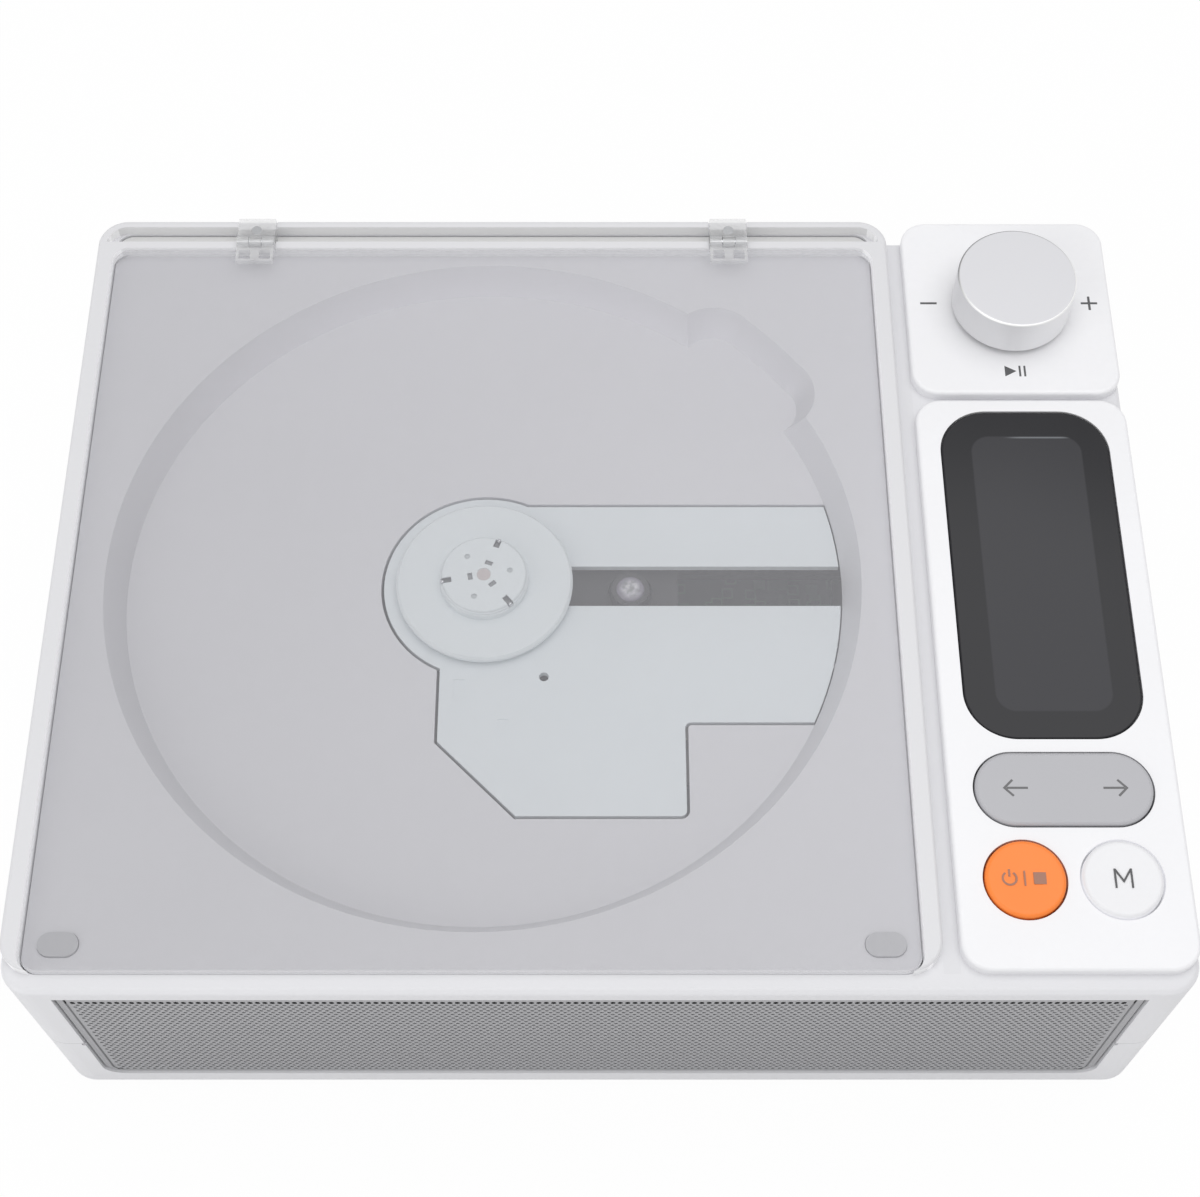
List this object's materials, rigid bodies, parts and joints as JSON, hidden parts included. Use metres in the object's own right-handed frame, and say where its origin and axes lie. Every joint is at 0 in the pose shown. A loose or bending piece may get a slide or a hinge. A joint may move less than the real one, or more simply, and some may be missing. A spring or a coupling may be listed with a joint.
{
  "type": "wall mounted cd player",
  "caption": "Top loading disc player for the wall or a table, with a clear hinged lid over a round well, a turned knob, a dark screen, round keys and a speaker grille.",
  "frame": {"origin": "On the surface under the rubber feet, below the middle of the body's width and depth", "axes": "X to the right with the speaker grille facing the viewer, Y from the grille to the hinges, Z out of the disc and the controls; on a wall Y points up and Z away from the wall"},
  "size_m": [0.18, 0.143, 0.0607],
  "materials": {
    "shell": "fine satin moulded white, sharp black line at the seam",
    "frame": "smooth satin white",
    "plate": "bright glossy white with a soft edge",
    "deck": "fine matte light grey",
    "cover": "smooth pale cool grey",
    "lid": "clear acrylic with a light haze",
    "clear": "clear polycarbonate with polished edges",
    "pad": "soft grey silicone",
    "window": "smoked glossy window",
    "screen": "dark screen module",
    "knob": "turned and bead blasted, bright chamfer",
    "rocker": "satin light grey",
    "power": "satin orange",
    "key": "glossy white",
    "grille": "grey painted sheet with fine holes",
    "steel": "machined steel",
    "screw": "bright plated screw",
    "black": "black moulding",
    "hub": "white acetal",
    "gear": "natural acetal",
    "brass": "turned brass",
    "board": "green solder mask",
    "battery": "blue shrink wrap",
    "rubber": "moulded grey rubber",
    "cone": "pressed paper cone with a rubber surround",
    "chassis": "zinc plated sheet",
    "optic": "coated lens"
  },
  "bodies": {
    "player": {"housing_base": "shell", "housing_top": "shell", "deck_frame": "frame", "deck_tray": "deck", "mechanism_cover": "cover", "hinge_bracket_left": "clear", "hinge_bracket_right": "clear", "hinge_screws": "screw", "lid_bumpers": "pad", "knob_plate": "plate", "display_plate": "plate", "display_window": "window", "display_panel": "screen", "encoder_body": "steel", "button_switches": "black", "control_board": "board", "main_board": "board", "board_screws": "screw", "battery_pack": "battery", "usb_socket": "steel", "audio_jack": "black", "front_grille": "grille", "speaker_baffle": "black", "speaker_left_basket": "black", "speaker_left_cone": "cone", "speaker_left_magnet": "steel", "speaker_right_basket": "black", "speaker_right_cone": "cone", "speaker_right_magnet": "steel", "spindle_motor": "steel", "mechanism_chassis": "chassis", "damper_grommets": "rubber", "chassis_screws": "screw", "guide_rod_back": "steel", "guide_rod_front": "steel", "gear_axle": "steel", "sled_motor": "steel", "base_screws": "screw", "rubber_feet": "rubber"},
    "lid": {"lid": "lid", "hinge_leaf_left": "clear", "hinge_leaf_right": "clear", "hinge_pins": "steel"},
    "turntable": {"turntable": "hub", "hub_balls": "screw", "spindle_shaft": "steel"},
    "pickup": {"pickup_sled": "black"},
    "lens": {"lens_holder": "black", "pickup_lens": "optic"},
    "drive_gear": {"drive_gear": "gear"},
    "motor_pinion": {"motor_pinion": "gear"},
    "knob_stem": {"encoder_plunger": "black"},
    "knob": {"volume_knob": "knob", "encoder_shaft": "steel"},
    "power": {"power_button": "power"},
    "mode": {"mode_button": "key"},
    "rocker": {"track_rocker": "rocker"}
  },
  "joints": [
    {"name": "lid_hinge", "type": "hinge", "parent": "player", "child": "lid", "pos_m": [-0.0193, 0.0661, 0.05275], "axis": [-1, 0, 0], "range_deg": [0, 95]},
    {"name": "turntable_spin", "type": "hinge", "parent": "player", "child": "turntable", "pos_m": [-0.0193, 0.0008, 0.046], "axis": [0, 0, -1], "continuous": true},
    {"name": "pickup_slide", "type": "slide", "parent": "player", "child": "pickup", "axis": [1, 0, 0], "range_m": [0, 0.0338]},
    {"name": "lens_focus", "type": "slide", "parent": "pickup", "child": "lens", "axis": [0, 0, 1], "range_m": [-0.0004, 0.0004], "stiffness_N_per_m": 20},
    {"name": "drive_gear_spin", "type": "hinge", "parent": "player", "child": "drive_gear", "pos_m": [0.0141, -0.0216, 0.036], "axis": [0, 0, -1], "range_deg": [0, 540]},
    {"name": "motor_pinion_spin", "type": "hinge", "parent": "player", "child": "motor_pinion", "pos_m": [0.00526, -0.03044, 0.036], "axis": [0, 0, 1], "range_deg": [0, 2160]},
    {"name": "knob_press", "type": "slide", "parent": "player", "child": "knob_stem", "axis": [0, 0, -1], "range_m": [0, 0.0006], "stiffness_N_per_m": 400},
    {"name": "knob_turn", "type": "hinge", "parent": "knob_stem", "child": "knob", "pos_m": [0.072, 0.0523, 0.052], "axis": [0, 0, -1], "continuous": true},
    {"name": "power_press", "type": "slide", "parent": "player", "child": "power", "axis": [0, 0, -1], "range_m": [0, 0.0005], "stiffness_N_per_m": 400},
    {"name": "mode_press", "type": "slide", "parent": "player", "child": "mode", "axis": [0, 0, -1], "range_m": [0, 0.0005], "stiffness_N_per_m": 400},
    {"name": "rocker_tilt", "type": "hinge", "parent": "player", "child": "rocker", "pos_m": [0.072, -0.0394, 0.0474], "axis": [0, 1, 0], "range_deg": [-2.2, 2.2], "stiffness_Nm_per_rad": 0.05}
  ],
  "couplings": [
    {"joint": "drive_gear_spin", "follows": "pickup_slide", "rad_per_m": 277.78},
    {"joint": "motor_pinion_spin", "follows": "pickup_slide", "rad_per_m": 1111.1}
  ]
}
